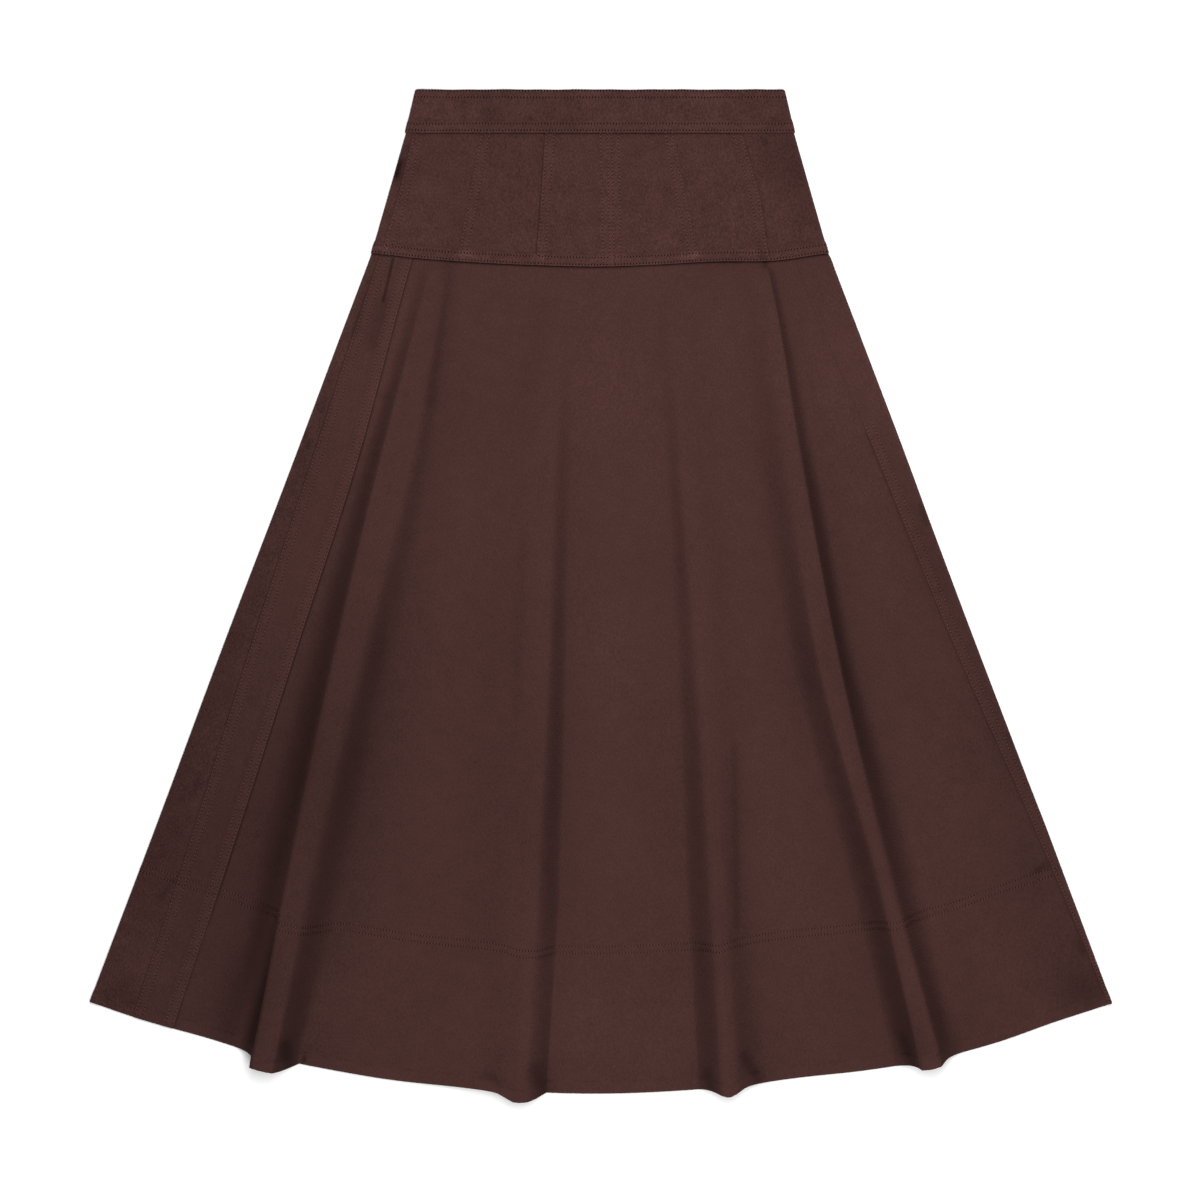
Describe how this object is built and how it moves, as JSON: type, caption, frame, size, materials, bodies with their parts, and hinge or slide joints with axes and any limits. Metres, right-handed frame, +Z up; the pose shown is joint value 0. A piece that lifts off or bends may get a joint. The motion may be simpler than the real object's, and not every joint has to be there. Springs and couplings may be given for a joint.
{
  "type": "yoke skirt",
  "caption": "Long A-line yoke skirt laid flat: shaped waistband, panelled hip yoke, side strips and a flared skirt that falls in flutes.",
  "frame": {"origin": "centre of the bounding box's bottom face, which is the surface that the skirt lies on", "axes": "+Z up out of the front of the skirt, +Y towards the waist, +X towards the right side of the laid front"},
  "size_m": [0.9191, 0.9086, 0.0277],
  "materials": {
    "waistband": "brushed cotton twill, matte, soft sheen",
    "yoke": "brushed cotton twill, matte, soft sheen",
    "skirt": "brushed cotton twill, matte, soft sheen",
    "strip": "brushed cotton twill, matte, soft sheen"
  },
  "bodies": {
    "root": {"waistband": "waistband", "yoke_front_1": "yoke", "yoke_front_2": "yoke", "yoke_front_3": "yoke", "yoke_front_4": "yoke", "yoke_front_5": "yoke", "yoke_front_6": "yoke", "yoke_back_1": "yoke", "yoke_back_2": "yoke", "yoke_back_3": "yoke", "yoke_back_4": "yoke", "yoke_back_5": "yoke", "yoke_back_6": "yoke", "skirt_front": "skirt", "skirt_back": "skirt", "left_strip": "strip", "right_strip": "strip"}
  },
  "joints": []
}
